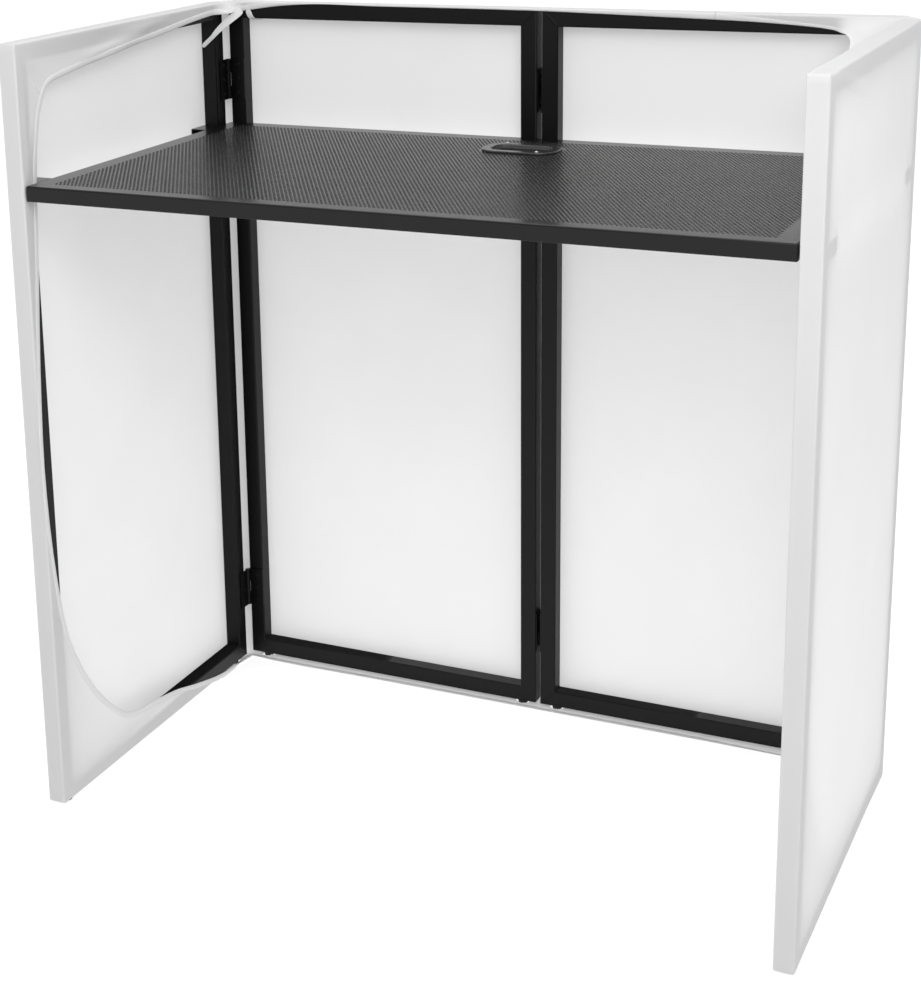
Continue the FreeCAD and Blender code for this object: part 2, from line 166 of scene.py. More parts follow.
# white polyester and elastane knit, stretched: soft, matt, with faint wales and courses, and thin
# enough that light from behind shows through
def stretchKnit(name, look):
    material, tree, shader, place = startMaterial(name, {
        "Roughness": look["roughness"], "Sheen Weight": look["sheen"], "Sheen Roughness": 0.5,
        "Specular IOR Level": 0.25,
    })
    waves = []
    for direction, step in (((1.0, 1.0, 0.0), look["waleMm"]), ((0.0, 0.0, 1.0), look["courseMm"])):
        turn = addNode(tree, "ShaderNodeMath", {1: 2 * math.pi / (step * mm)},
                       {0: dotOf(tree, place, direction)}, operation="MULTIPLY")
        wave = addNode(tree, "ShaderNodeMath", links={0: turn.outputs[0]}, operation="SINE")
        waves.append(wave.outputs[0])
    loops = addNode(tree, "ShaderNodeMath", links={0: waves[0], 1: waves[1]}, operation="MULTIPLY")
    height = addNode(tree, "ShaderNodeMath", {1: 0.6}, {0: waves[0], 2: loops.outputs[0]},
                     operation="MULTIPLY_ADD")
    colour = twoTone(tree, noiseOf(tree, place, look["cloudMm"], 3.0), look, "shade", "thread")
    plug(tree, shader, {
        "Base Color": colour,
        "Normal": bumpOf(tree, height.outputs[0], look["knitStrength"], look["knitDepthMm"]),
    })
    through = addNode(tree, "ShaderNodeBsdfTranslucent", links={"Color": colour})
    mix = addNode(tree, "ShaderNodeMixShader", {0: look["through"]},
                  {1: shader.outputs["BSDF"], 2: through.outputs["BSDF"]})
    output = next(node for node in tree.nodes if node.type == "OUTPUT_MATERIAL")
    tree.links.new(mix.outputs["Shader"], output.inputs["Surface"])
    return material


# the knit has about 0.6 mm between wales, drawn at 1.5 mm so that it shows
coverKnit = stretchKnit("whiteStretchKnit", {
    "thread": "#f6f6f6", "shade": "#f0f0f0", "roughness": 0.9, "sheen": 0.15, "waleMm": 1.5,
    "courseMm": 1.2, "cloudMm": 140.0, "knitStrength": 0.22, "knitDepthMm": 0.08,
    "through": 0.36,
})
hemKnit = stretchKnit("rolledHemKnit", {
    "thread": "#f5f5f5", "shade": "#ededed", "roughness": 0.9, "sheen": 0.3, "waleMm": 2.4,
    "courseMm": 2.4, "cloudMm": 40.0, "knitStrength": 0.45, "knitDepthMm": 0.15,
    "through": 0.3,
})
strapElastic = stretchKnit("wovenElastic", {
    "thread": "#efefef", "shade": "#e2e2e2", "roughness": 0.85, "sheen": 0.2, "waleMm": 1.1,
    "courseMm": 0.9, "cloudMm": 20.0, "knitStrength": 0.5, "knitDepthMm": 0.2,
    "through": 0.1,
})


# moulded plastic: black with a fine spark-eroded texture
def mouldedPlastic(name, look):
    material, tree, shader, place = startMaterial(name, {"Specular IOR Level": look["gloss"]})
    grain = noiseOf(tree, place, look["grainMm"], 3.0)
    plug(tree, shader, {
        "Base Color": twoTone(tree, grain, look),
        "Roughness": rangeOf(tree, grain, look["roughness"]),
        "Normal": bumpOf(tree, grain, 0.3, 0.06),
    })
    return material


grommetPlastic = mouldedPlastic("mouldedBlackAbs", {
    "dark": "#242424", "light": "#303030", "gloss": 0.5, "roughness": (0.22, 0.32), "grainMm": 0.8,
})
footPlastic = mouldedPlastic("mouldedBlackPolythene", {
    "dark": "#0c0c0c", "light": "#141414", "gloss": 0.3, "roughness": (0.5, 0.62), "grainMm": 1.2,
})


# zinc-plated steel: bright, with a faint turned brushing
def zincPlate(name, look):
    material, tree, shader, place = startMaterial(name, {"Metallic": 1.0})
    swirl = noiseOf(tree, place, look["brushMm"], 4.0)
    plug(tree, shader, {
        "Base Color": twoTone(tree, swirl, look),
        "Roughness": rangeOf(tree, swirl, look["roughness"]),
    })
    return material


screwZinc = zincPlate("zincPlatedSteel", {
    "dark": "#b9bbbe", "light": "#dadcdd", "roughness": (0.22, 0.38), "brushMm": 0.6,
})
print("materials made:", len(bpy.data.materials))


def meshPiece(name, points, faces, material, body=None):
    mesh = bpy.data.meshes.new(name)
    mesh.from_pydata([tuple(point) for point in points], [], faces)
    mesh.validate()
    mesh.update()
    mesh.polygons.foreach_set("use_smooth", [True] * len(mesh.polygons))
    mesh.materials.append(material)
    piece = linked(name, mesh)
    if body:
        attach(piece, body)
    return piece


def remesh(mesh, *edits):  # runs the edits, then turns all faces outwards
    bm = bmesh.new()
    bm.from_mesh(mesh)
    for edit in edits:
        edit(bm)
    bmesh.ops.recalc_face_normals(bm, faces=bm.faces)
    bm.to_mesh(mesh)
    bm.free()


def mergeClose(bm):
    bmesh.ops.remove_doubles(bm, verts=bm.verts, dist=seam)


def settled(piece, kind, **settings):  # applies a modifier, so that later steps see the final shape
    modifier = piece.modifiers.new(kind, kind)
    for name, value in settings.items():
        setattr(modifier, name, value)
    graph = bpy.context.evaluated_depsgraph_get()
    mesh = bpy.data.meshes.new_from_object(piece.evaluated_get(graph))
    piece.modifiers.clear()
    piece.data = mesh
    return piece


def keepNode(name, material, bevel):  # CAD node that stays, with softened edges
    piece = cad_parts[name]
    piece.data.materials.clear()
    piece.data.materials.append(material)
    softened = piece.modifiers.new("softEdges", "BEVEL")
    softened.width = bevel * mm
    softened.segments = 2
    softened.limit_method = "ANGLE"
    softened.harden_normals = True


def ringFaces(rings, count, closed=False, base=0):  # quads between rings of points
    faces = []
    for ring in range(rings if closed else rings - 1):
        here, there = base + ring * count, base + (ring + 1) % rings * count
        for step in range(count):
            following = (step + 1) % count
            faces.append((here + step, here + following, there + following, there + step))
    return faces


# welded frames: one rounded square tube round each rectangle
tubeLook = {
    "round": 2.2 * mm, "roundSteps": 4, "beadWide": 3.6 * mm, "beadHigh": 0.6 * mm,
    "beadSunk": 0.1 * mm, "beadStations": 26, "beadSides": 6,
}


def tubeSection():  # rounded square, as (outward, depth) from the tube's middle
    radius = tubeLook["round"]
    flat = tube / 2 - radius
    ring = []
    for quarter in range(4):
        middle = math.radians(90 * quarter + 45)
        for step in range(tubeLook["roundSteps"] + 1):
            angle = math.radians(90 * quarter + 90 * step / tubeLook["roundSteps"])
            ring.append((math.copysign(flat, math.cos(middle)) + radius * math.cos(angle),
                         math.copysign(flat, math.sin(middle)) + radius * math.sin(angle)))
    return ring


def weldedFrame(name, body, start, along, span, thick):
    # start is the bottom corner in the middle of the tube's depth
    section = tubeSection()
    half = tube / 2
    rise = frameTop - frameBottom
    corners = [(half, half, -1, -1), (span - half, half, 1, -1),
               (span - half, rise - half, 1, 1), (half, rise - half, -1, 1)]
    points = []
    for u, w, outU, outW in corners:
        for out, deep in section:
            points.append(start + along * (u + outU * out) + Vector((0, 0, w + outW * out))
                          + thick * deep)
    piece = meshPiece(name, points, ringFaces(4, len(section), True), frameCoat)
    remesh(piece.data)
    settled(piece, "WEIGHTED_NORMAL", keep_sharp=True, weight=90)
    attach(piece, body)
    # weld beads over the mitres on both faces, with the ripple that catches the light
    beadPoints = []
    beadFaces = []
    for u, w, outU, outW in corners:
        for side in (-1, 1):
            inner = start + along * (u - outU * half) + Vector((0, 0, w - outW * half))
            outer = start + along * (u + outU * half) + Vector((0, 0, w + outW * half))
            lift = thick * (side * half)
            addBead(beadPoints, beadFaces, inner + lift, outer + lift, thick * side)
    beads = meshPiece(name + "Welds", beadPoints, beadFaces, frameCoat, body)
    return piece


def addBead(points, faces, begin, finish, outward):
    run = finish - begin
    across = run.cross(outward).normalized()
    stations, sides = tubeLook["beadStations"], tubeLook["beadSides"]
    ring = sides + 1
    base = len(points)
    for station in range(stations + 1):
        share = 0.04 + 0.92 * station / stations
        end = math.sin(math.pi * min(max(station / stations, 0.03), 0.97)) ** 0.35
        ripple = 0.72 + 0.28 * math.sin(station * 2.3 + begin.x * 90 + begin.z * 40)
        wide = tubeLook["beadWide"] / 2 * end
        high = tubeLook["beadHigh"] * end * ripple
        for step in range(ring):
            angle = math.pi * step / sides
            points.append(begin + run * share + across * (wide * math.cos(angle))
                          + outward * (high * math.sin(angle) - tubeLook["beadSunk"]))
    faces += ringFaces(stations + 1, ring, base=base)
    last = base + stations * ring
    faces.append(tuple(range(base, base + ring)))
    faces.append(tuple(reversed(range(last, last + ring))))


right = Vector((1, 0, 0))
back = Vector((0, 1, 0))
frontMiddle = (frontInner + frontOuter) / 2
sideMiddle = (innerHalf + outerHalf) / 2
frontSpan = frontHalf - centreHalf
sideSpan = sideFar - sideNear
frames = [
    ("frontLeftFrame", "front_left", (-frontHalf, frontMiddle), right, frontSpan, back,
     ("outer", "inner")),
    ("frontRightFrame", "front_right", (centreHalf, frontMiddle), right, frontSpan, back,
     ("inner", "outer")),
    ("leftSideFrame", "left_side", (-sideMiddle, sideNear), back, sideSpan, right,
     ("near", "far")),
    ("rightSideFrame", "right_side", (sideMiddle, sideNear), back, sideSpan, right,
     ("near", "far")),
]
for name, body, start, along, span, thick, posts in frames:
    piece = weldedFrame(name, body, Vector((*start, frameBottom)), along, span, thick)
    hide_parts(body + "_bottom_rail", body + "_top_rail",
                *[body + "_" + post + "_post" for post in posts])
for hand in ("left", "right"):
    keepNode(hand + "_bracket_stubs", tableCoat, 1.2)
    keepNode(hand + "_bracket_ledges", frameCoat, 0.5)
    keepNode(hand + "_corner_fixed_leaves", hingeCoat, 0.3)
    keepNode(hand + "_corner_moving_leaves", hingeCoat, 0.3)
    keepNode(hand + "_corner_pins", hingeCoat, 0.4)
    keepNode("centre_" + hand + "_leaves", hingeCoat, 0.3)
keepNode("centre_pins", hingeCoat, 0.3)
for body in frameBodies:
    keepNode(body + "_feet", footPlastic, 0.8)
print("frames and hinges dressed")

# screws: pan heads with a cross recess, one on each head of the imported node
headLook = {
    "cell": 4.0 * mm, "gap": 6.3 * mm,  # points nearer than the gap are of one head
    "steps": 32, "dome": 1.15, "turn": 0.7,  # radians from one head to the next
    "rings": [(1.0, 0.0), (1.0, 0.25), (0.94, 0.55), (0.8, 0.82), (0.6, 0.97)],
    "arm": 0.46, "waist": 0.14, "slope": 0.3, "recess": (0.8, 0.35),
}


def headSpots(node):
    seen = {}
    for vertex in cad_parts[node].data.vertices:
        key = tuple(round(value / headLook["cell"]) for value in vertex.co)
        seen.setdefault(key, []).append(vertex.co)
    groups = []
    for points in seen.values():
        for point in points:
            near = [group for group in groups
                    if any((point - other).length < headLook["gap"] for other in group)]
            merged = [point]
            for group in near:
                merged += group
                groups.remove(group)
            groups.append(merged)
    spots = []
    for group in groups:
        low = Vector([min(point[axis] for point in group) for axis in range(3)])
        high = Vector([max(point[axis] for point in group) for axis in range(3)])
        spots.append(((low + high) / 2, high - low))
    return spots


def panHead(points, faces, foot, normal, radius, high, turn):
    across = normal.orthogonal().normalized()
    other = normal.cross(across)
    steps = headLook["steps"]
    base = len(points)
    loops = [[(share * radius, level * high)] * steps for share, level in headLook["rings"]]
    cross = []
    for step in range(steps):  # cross recess: long arms, narrow waist
        angle = (2 * math.pi * step / steps) % (math.pi / 2)
        angle = min(angle, math.pi / 2 - angle)
        if math.tan(angle) < headLook["slope"]:
            cross.append(headLook["arm"] * radius / math.cos(angle))
        else:
            cross.append(headLook["waist"] * radius / math.sin(angle))
    loops.append([(arm, high) for arm in cross])
    narrow, deep = headLook["recess"]
    loops.append([(arm * narrow, high * deep) for arm in cross])
    for loop in loops:
        for step, (distance, level) in enumerate(loop):
            angle = 2 * math.pi * step / steps + turn
            points.append(foot + across * (distance * math.cos(angle))
                          + other * (distance * math.sin(angle)) + normal * level)
    faces += ringFaces(len(loops), steps, base=base)
    last = base + (len(loops) - 1) * steps
    faces.append(tuple(range(last, last + steps)))
    faces.append(tuple(reversed(range(base, base + steps))))


def screwSet(name, node, body, material, facing):
    points = []
    faces = []
    for number, (middle, extent) in enumerate(headSpots(node)):
        axis = min(range(3), key=lambda index: extent[index])
        normal = Vector((0, 0, 0))
        normal[axis] = math.copysign(1, facing[axis] - middle[axis])
        foot = middle - normal * (extent[axis] / 2)
        panHead(points, faces, foot, normal, max(extent) / 2, extent[axis] * headLook["dome"],
                number * headLook["turn"])
    piece = meshPiece(name, points, faces, material, body)
    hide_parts(node)


# screws at the middle face the gap, those at the corners the operator's side
gapSpot = Vector((0, frontInner - 0.3, 0))
for body in frameBodies:
    screwSet(body + "Screws", body + "_hinge_screws", body, hingeCoat, gapSpot)
screwSet("grommetScrews", "grommet_screws", "table", screwZinc, Vector((0, 0, 9)))
print("screws placed")

# table: a folded pan whose border carries the perforated field
tableLook = {
    "bend": 2.5 * mm, "sheet": 2.0 * mm, "sideMargin": 24.0 * mm, "rearMargin": 22.0 * mm,
    "nearMargin": 20.0 * mm, "pitch": 6.0 * mm, "hole": 4.0 * mm,  # 5 mm pitch in the real sheet
    "crease": 0.6 * mm, "fieldRound": 0.4 * mm, "portRound": 26.0 * mm, "underRim": 8.0 * mm,
    "roundRim": 2.0 * mm,
}


def roundedLoop(x0, x1, y0, y1, z, radius, steps=6):
    loop = []
    for cx, cy, begin in ((x1 - radius, y1 - radius, 0), (x0 + radius, y1 - radius, 90),
                          (x0 + radius, y0 + radius, 180), (x1 - radius, y0 + radius, 270)):
        for step in range(steps + 1):
            angle = math.radians(begin + 90 * step / steps)
            loop.append(Vector((cx + radius * math.cos(angle), cy + radius * math.sin(angle), z)))
    return loop


def ringPiece(name, loops, material, weight):  # closed band through all the loops
    points = [point for loop in loops for point in loop]
    piece = meshPiece(name, points, ringFaces(len(loops), len(loops[0]), True), material)
    return settled(piece, "WEIGHTED_NORMAL", keep_sharp=True, weight=weight)


top = tableHigh.z
fieldX = tableHigh.x - tableLook["sideMargin"]
fieldNear = tableLow.y + tableLook["nearMargin"]
fieldRear = tableHigh.y - tableLook["rearMargin"]
bend, sheetThick, crease = tableLook["bend"], tableLook["sheet"], tableLook["crease"]


def fieldLoop(z):
    return roundedLoop(-fieldX, fieldX, fieldNear, fieldRear, z, tableLook["fieldRound"])


def panLoop(inset, z, radius):
    return roundedLoop(tableLow.x + inset, tableHigh.x - inset, tableLow.y + inset,
                       tableHigh.y - inset, z, radius)


panLoops = [fieldLoop(top), panLoop(bend, top, crease)]
for step in range(1, 6):
    angle = math.radians(90 * step / 5)
    panLoops.append(panLoop(bend * (1 - math.sin(angle)), top - bend * (1 - math.cos(angle)),
                            crease + (bend - crease) * math.sin(angle)))
inner = bend - sheetThick
panLoops.append(panLoop(0, tableLow.z + crease, bend))
panLoops.append(panLoop(crease, tableLow.z, bend - crease))
panLoops.append(panLoop(sheetThick - 0.5 * mm, tableLow.z, inner + 0.4 * mm))
panLoops.append(panLoop(sheetThick, tableLow.z + 0.5 * mm, inner))
for step in range(4):
    angle = math.radians(90 * step / 3)
    panLoops.append(panLoop(sheetThick + inner * (1 - math.cos(angle)),
                            top - bend + inner * math.sin(angle),
                            inner - 0.3 * mm * math.sin(angle)))
panLoops.append(fieldLoop(top - sheetThick))
tablePan = ringPiece("tablePan", panLoops, tableCoat, 90)
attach(tablePan, "table")
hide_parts("table_pan")

# perforated field: six-sided cells in staggered rows, each with a hole through the sheet
grommetLow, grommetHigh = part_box("cable_grommet")
portMiddle = (grommetLow + grommetHigh) / 2
portHalf = (grommetHigh - grommetLow) / 2


def insidePort(x, y, shrink):
    rim = tableLook["portRound"] - shrink / 2
    dx = np.maximum(np.abs(x - portMiddle.x) - (portHalf.x - shrink - rim), 0)
    dy = np.maximum(np.abs(y - portMiddle.y) - (portHalf.y - shrink - rim), 0)
    return np.hypot(dx, dy) < rim


def perforatedField():
    pitch = tableLook["pitch"]
    rowStep = pitch * math.sqrt(3) / 2
    columns = int((2 * fieldX) / pitch) + 2
    rows = int((fieldRear - fieldNear) / rowStep) + 2
    x = np.concatenate([-fieldX + pitch * np.arange(columns) + (row % 2) * pitch / 2
                        for row in range(rows)])
    y = np.concatenate([np.full(columns, fieldNear + row * rowStep) for row in range(rows)])
    keep = ~insidePort(x, y, tableLook["underRim"])
    x, y = x[keep], y[keep]
    edge = 0.75 * pitch  # cells this near to the border have no hole
    solid = (np.abs(x) > fieldX - edge) | (y < fieldNear + edge * 0.6) | (y > fieldRear - edge)
    solid |= insidePort(x, y, -tableLook["roundRim"])
    turns = np.radians(30 + 60 * np.arange(6))

    def corners(radius):  # six points round each cell, kept inside the field
        return (np.clip(x[:, None] + radius * np.cos(turns), -fieldX, fieldX),
                np.clip(y[:, None] + radius * np.sin(turns), fieldNear, fieldRear))

    rim = corners(pitch / math.sqrt(3))
    hole = corners(np.where(solid, 0.0, tableLook["hole"] / 2)[:, None])
    under = top - sheetThick
    points = np.concatenate([
        np.stack([px, py, np.full_like(px, z)], axis=2).reshape(-1, 3)
        for (px, py), z in ((rim, top), (hole, top), (hole, under), (rim, under))])
    cells = np.arange(len(x))[:, None] * 6
    start, following = cells + np.arange(6), cells + (np.arange(6) + 1) % 6
    first = np.stack([start, following, following + cells.size * 6, start + cells.size * 6],
                     axis=2).reshape(-1, 4)
    quads = np.concatenate([first + level * cells.size * 6 for level in range(3)])
    mesh = bpy.data.meshes.new("perforatedField")
    mesh.vertices.add(len(points))
    mesh.vertices.foreach_set("co", points.ravel())
    mesh.loops.add(len(quads) * 4)
    mesh.loops.foreach_set("vertex_index", quads.ravel().astype(np.int32))
    mesh.polygons.add(len(quads))
    mesh.polygons.foreach_set("loop_start", (np.arange(len(quads)) * 4).astype(np.int32))
    mesh.update()
    remesh(mesh, mergeClose,
           lambda bm: bmesh.ops.dissolve_degenerate(bm, dist=seam, edges=bm.edges))
    mesh.materials.append(tableCoat)
    piece = linked("perforatedField", mesh)
    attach(piece, "table")


perforatedField()

# grommet: rim with a rolled outer edge, sloping in to a short sleeve
rimLook = {
    "round": 30.0 * mm, "leastRound": 3.0 * mm, "rim": 15.0 * mm, "lip": 1.6 * mm,
    "crown": 0.2 * mm, "slope": 3.0 * mm, "drop": 2.6 * mm,
    "sleeve": [(0, 0.4), (0.4, 0), (2.1, 0), (2.5, 0.4)],  # inset and rise of its lower edge in mm
}


def portLoop(shrink, z):
    return roundedLoop(grommetLow.x + shrink, grommetHigh.x - shrink, grommetLow.y + shrink,
                       grommetHigh.y - shrink, z,
                       max(rimLook["round"] - shrink, rimLook["leastRound"]), 12)


lip, opening, slope = rimLook["lip"], rimLook["rim"], rimLook["slope"]
rimTop = grommetHigh.z
crown = rimTop - rimLook["crown"]
quarterTurn = [math.radians(90 * step / 4) for step in range(1, 5)]
portLoops = [portLoop(0.3 * mm, top), portLoop(0, top + 0.5 * mm), portLoop(0, rimTop - lip)]
for angle in quarterTurn:
    portLoops.append(portLoop(lip * (1 - math.cos(angle)), rimTop - lip * (1 - math.sin(angle))))
portLoops.append(portLoop(opening - slope, crown))
for angle in quarterTurn:
    portLoops.append(portLoop(opening - slope * (1 - math.sin(angle)),
                              crown - rimLook["drop"] * (1 - math.cos(angle))))
for inset, rise in rimLook["sleeve"]:
    portLoops.append(portLoop(opening - inset * mm, grommetLow.z + rise * mm))
portLoops.append(portLoop(opening - inset * mm, top - 0.1 * mm))
cableGrommet = ringPiece("cableGrommet", portLoops, grommetPlastic, 70)
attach(cableGrommet, "table")
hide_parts("cable_grommet")
print("table perforated and grommet set")

# stretch cover. Each hem is a list of (run, out, y, z) in mm: run goes from the front along a
# side's top (0 at the side's far end) and down its near post, or along its bottom; out is from
# the booth's middle, y from the front frames' inner faces, z from the rails' underside
coverLook = {
    "skin": 0.9 * mm, "edge": 3.0 * mm, "split": 260.0, "turn": 24.0 * mm, "footGap": 1.5 * mm,
    "cornerRun": 50, "floorGap": 1.6, "dropRun": 110, "bandCounts": (1, 3, 12),
    "topSquare": 400, "bottomSquare": 150, "squareSpan": 100,  # runs where bands turn square
}
skin, edge = coverLook["skin"] / mm, coverLook["edge"] / mm
frameRise = (frameTop - frameBottom) / mm
nearY = (sideNear - frontInner) / mm
farY = (sideFar - frontInner) / mm
inHalf = innerHalf / mm
baseY, baseZ = frontInner / mm, frameBottom / mm
frontY = tube / mm + skin
topLeftHem = [
    (-307, 260, 0, 1098.4), (-180, 387, 0, 1098.5), (-126, 440, 0, 1094), (-80, 487, 0, 1087),
    (-21, 502.5, -27, 1084.5), (38, 518, -54, 1084), (98, 518, -114, 1080), (182, 518, -198, 1072),
    (265, 518, -281, 1065), (368, 518, -384, 1055), (437, 518, -453, 1047), (495, 518, -496, 1040),
    (530, 518, -508, 1032), (556, 518, -516, 1021),
]
nearLeftHem = [
    (556, 518, -516, 1021), (600, 518, -526, 1000), (660, 518, -535, 963), (735, 518, -542, 913),
    (828, 518, -548, 828), (1049, 518, -565, 607), (1124, 518, -568, 532), (1205, 518, -566, 451),
    (1322, 518, -554, 334), (1388, 518, -542, 268), (1480, 518, -513, 197), (1560, 518, -470, 132),
    (1625, 518, -423, 84), (1656, 518, -402, 68),
]
bottomHem = [
    (556, 518, -402, 68), (500, 518, -385, 60), (430, 518, -366, 55), (374, 518, -347, 52),
    (300, 518, -306, 47), (245, 518, -260, 39.5), (166, 518, -182, 19), (98, 518, -114, 4),
    (50, 517.5, -66, -2), (0, 514, -17, -5.6), (-50, 508, -8, -5.8), (-80, 486, -10, -5.8),
    (-307, 260, -10, -5.8),
]
topRightHem = [
    (-307, 260, 0, 1091.8), (-254, 313, 0, 1090.2), (-212, 355, 0, 1088), (-184, 382, 0, 1086.2),
    (-164, 403, 0, 1084.5), (-144, 423, -1, 1082), (-120, 434, -9, 1080), (-100, 440, -20, 1080),
    (-60, 452, -52, 1082), (-20, 463, -92, 1084), (20, 472, -128, 1086), (80, 483, -178, 1088.8),
    (150, 494, -232, 1091.8), (220, 506, -296, 1095), (290, 516, -348, 1096.5),
    (330, 518, -372, 1095.5), (370, 518, -394, 1094), (450, 518, -467, 1092),
    (535, 518, -552, 1090), (556, 518, -559, 1086),
]
nearRightHem = [
    (556, 518, -559, 1086), (575, 518, -560, 1076), (610, 518, -556, 1046), (660, 518, -550, 996),
    (735, 518, -544, 913),
] + nearLeftHem[4:]
nearStart, nearEnd = nearLeftHem[0][0], nearLeftHem[-1][0]  # runs at the near post's two ends
# heights of the outer face's rows, closer together near the table and the ends
faceMarks = ([0, 12, 30, 60, 100, 150] + list(range(200, 860, 45)) + list(range(860, 930, 7))
             + [945, 970, 1000, 1025] + list(range(1040, 1101, 5)))
# soft folds as (start, end, half width, height), with places as (y, z) like the hems, or as
# (out, z) on the near strip
folds = {
    "inner": [
        ((-430, 1061), (-225, 1086), 7, 2.9), ((-395, 1052), (-250, 1075), 6, 2.1),
        ((-330, 1086), (-170, 1092), 6, 1.6), ((-568, 1092), (-504, 1046), 12, 1.3),
        ((-536, 1010), (-569, 905), 4, 1.4), ((-560, 1060), (-560, 930), 4, 1.0),
        ((-540, 16), (-410, 19), 9, 1.6), ((-440, 16), (-340, 35), 9, 2.2),
        ((-370, 28), (-250, 35), 8, 1.8), ((-566, 108), (-420, 70), 9, 1.0),
        ((-556, 40), (-470, 30), 8, 1.0),
    ],
    "outer": [
        ((-572, 1103), (-325, 1044), 6, 2.4), ((-570, 1099), (-518, 1080), 5, 1.8),
        ((-395, 1094), (-290, 1062), 8, 0.9), ((-570, 897), (-10, 891), 5, 0.5),
        ((-570, 921), (-10, 914), 6, 0.4), ((-560, 30), (-400, 14), 7, 1.0),
    ],
    "near": [((490, 1092), (571, 1091), 5, 1.7), ((500, 1080), (560, 1078), 4, 0.5)],
}


def hemCurve(table):  # smooth curve through the listed points
    table = sorted(table)
    runs = np.array([row[0] for row in table], float)
    values = np.array([row[1:] for row in table], float)
    slopes = np.gradient(values, runs, axis=0)

    def at(run):
        run = min(max(run, runs[0]), runs[-1])
        index = min(int(np.searchsorted(runs, run, side="right")) - 1, len(runs) - 2)
        wide = runs[index + 1] - runs[index]
        t = (run - runs[index]) / wide
        a = 2 * t ** 3 - 3 * t ** 2 + 1
        b = t ** 3 - 2 * t ** 2 + t
        c = -2 * t ** 3 + 3 * t ** 2
        d = t ** 3 - t ** 2
        return (a * values[index] + b * wide * slopes[index] + c * values[index + 1]
                + d * wide * slopes[index + 1])
    return at


def roundedRun(stops):
    # points from the first stop to the last, with the stops between rounded off
    stops = [np.array(stop, float) for stop in stops]
    line = []
    begin = stops[0]
    for index, count in enumerate(coverLook["bandCounts"], 1):
        goal = stops[index]
        enter = leave = goal
        arc = []
        if index < len(stops) - 1:
            before = goal - stops[index - 1]
            after = stops[index + 1] - goal
            cutIn = min(edge, 0.999 * np.linalg.norm(before))
            cutOut = min(edge, 0.45 * np.linalg.norm(after))
            enter = goal - before / max(np.linalg.norm(before), 1e-9) * cutIn
            leave = goal + after / max(np.linalg.norm(after), 1e-9) * cutOut
            arc = [enter * (1 - t) ** 2 + goal * 2 * t * (1 - t) + leave * t * t
                   for t in (0.2, 0.4, 0.6, 0.8, 1.0)]
        line += [begin + (enter - begin) * step / count for step in range(1, count + 1)] + arc
        begin = leave
    return line


class coverPart:
    # grid of columns that all begin on the outer face's border
    def __init__(self):
        self.points = []
        self.faces = []

    def add(self, point):
        self.points.append(tuple(point))
        return len(self.points) - 1

    def strip(self, columns):
        for first, second in zip(columns, columns[1:]):
            for level in range(len(first) - 1):
                corners = [first[level], second[level], second[level + 1], first[level + 1]]
                distinct = list(dict.fromkeys(corners))
                if len(distinct) > 2:
                    self.faces.append(tuple(distinct))

    def band(self, first, stops):  # column from a border point over the edge to the hem
        line = roundedRun([self.points[first]] + stops)
        return [first] + [self.add(point) for point in line]


def faceLevels(station):
    low, high = lowOf(station) + edge, frameRise + skin - edge
    return [low + (high - low) * mark / faceMarks[-1] for mark in faceMarks]


def worldOf(points, sign=1):  # from mm beside the front frames to metres in the shared frame
    return np.stack([sign * points[:, 0], points[:, 1] + baseY, points[:, 2] + baseZ], axis=1) * mm


def stationsOf():
    # plan of the outer face from the near end: run, out, y and what backs the station
    plan = []
    outerOut = outerHalf / mm + skin
    cornerOut = frontHalf / mm
    cornerRun = coverLook["cornerRun"]
    for y in np.concatenate([np.linspace(nearY - skin + edge, nearY + 90, 18)[:-1],
                             np.linspace(nearY + 90, farY, 78)]):
        plan.append((farY - y, outerOut, y, "side"))
    ends = np.array([outerOut, farY]), np.array([cornerOut, frontY])
    for step in range(1, 9):
        share = step / 9
        spot = ends[0] + (ends[1] - ends[0]) * share
        bow = 1.5 * math.sin(math.pi * share)
        plan.append((-cornerRun * share, spot[0] + bow * 0.8, spot[1] + bow * 0.5, "corner"))
    for out in np.linspace(cornerOut, coverLook["split"], 34):
        plan.append((-cornerRun - (cornerOut - out), out, frontY, "front"))
    return plan


def levelPart(station, goal, switch):
    # plan point where the cover leaves the frame's level: past the inner faces of both rails
    run, out, y, kind = station
    limit = inHalf - skin
    shareX = (out - limit) / (out - goal[0]) if out > limit and out > goal[0] else 0
    shareY = (y + skin) / (y - goal[1]) if y > -skin and y > goal[1] else 0
    share = min(max(shareX, shareY, 0), 1)
    spot = np.array([out + (goal[0] - out) * share, y + (goal[1] - y) * share])
    if kind == "side":  # square to the rail away from the corner
        span = coverLook["squareSpan"]
        square = min(max((run - switch + span / 2) / span, 0), 1)
        spot[1] += (y - spot[1]) * square
    return spot


def levelRun(station, goal, level, switch):
    goal[0] = min(goal[0], inHalf - skin)
    return [(*station[1:3], level), (*levelPart(station, goal, switch), level), goal]


def topRun(station, hem):
    goal = hem(station[0])
    goal[1] = min(goal[1], -skin)
    return levelRun(station, goal, frameRise + skin, coverLook["topSquare"])


def bottomRun(station, hem):
    goal = hem(station[0])
    goal[2] = max(goal[2], lowOf(station))
    return levelRun(station, goal, lowOf(station), coverLook["bottomSquare"])


def lowOf(station):  # the cover drops to the floor at the front
    run, _, _, kind = station
    floor = -baseZ + coverLook["floorGap"]
    if kind == "front":
        return floor
    drop = coverLook["dropRun"]
    share = min(max((drop - run) / drop, 0), 1) if kind == "side" else 1
    return -skin + (floor + skin) * share


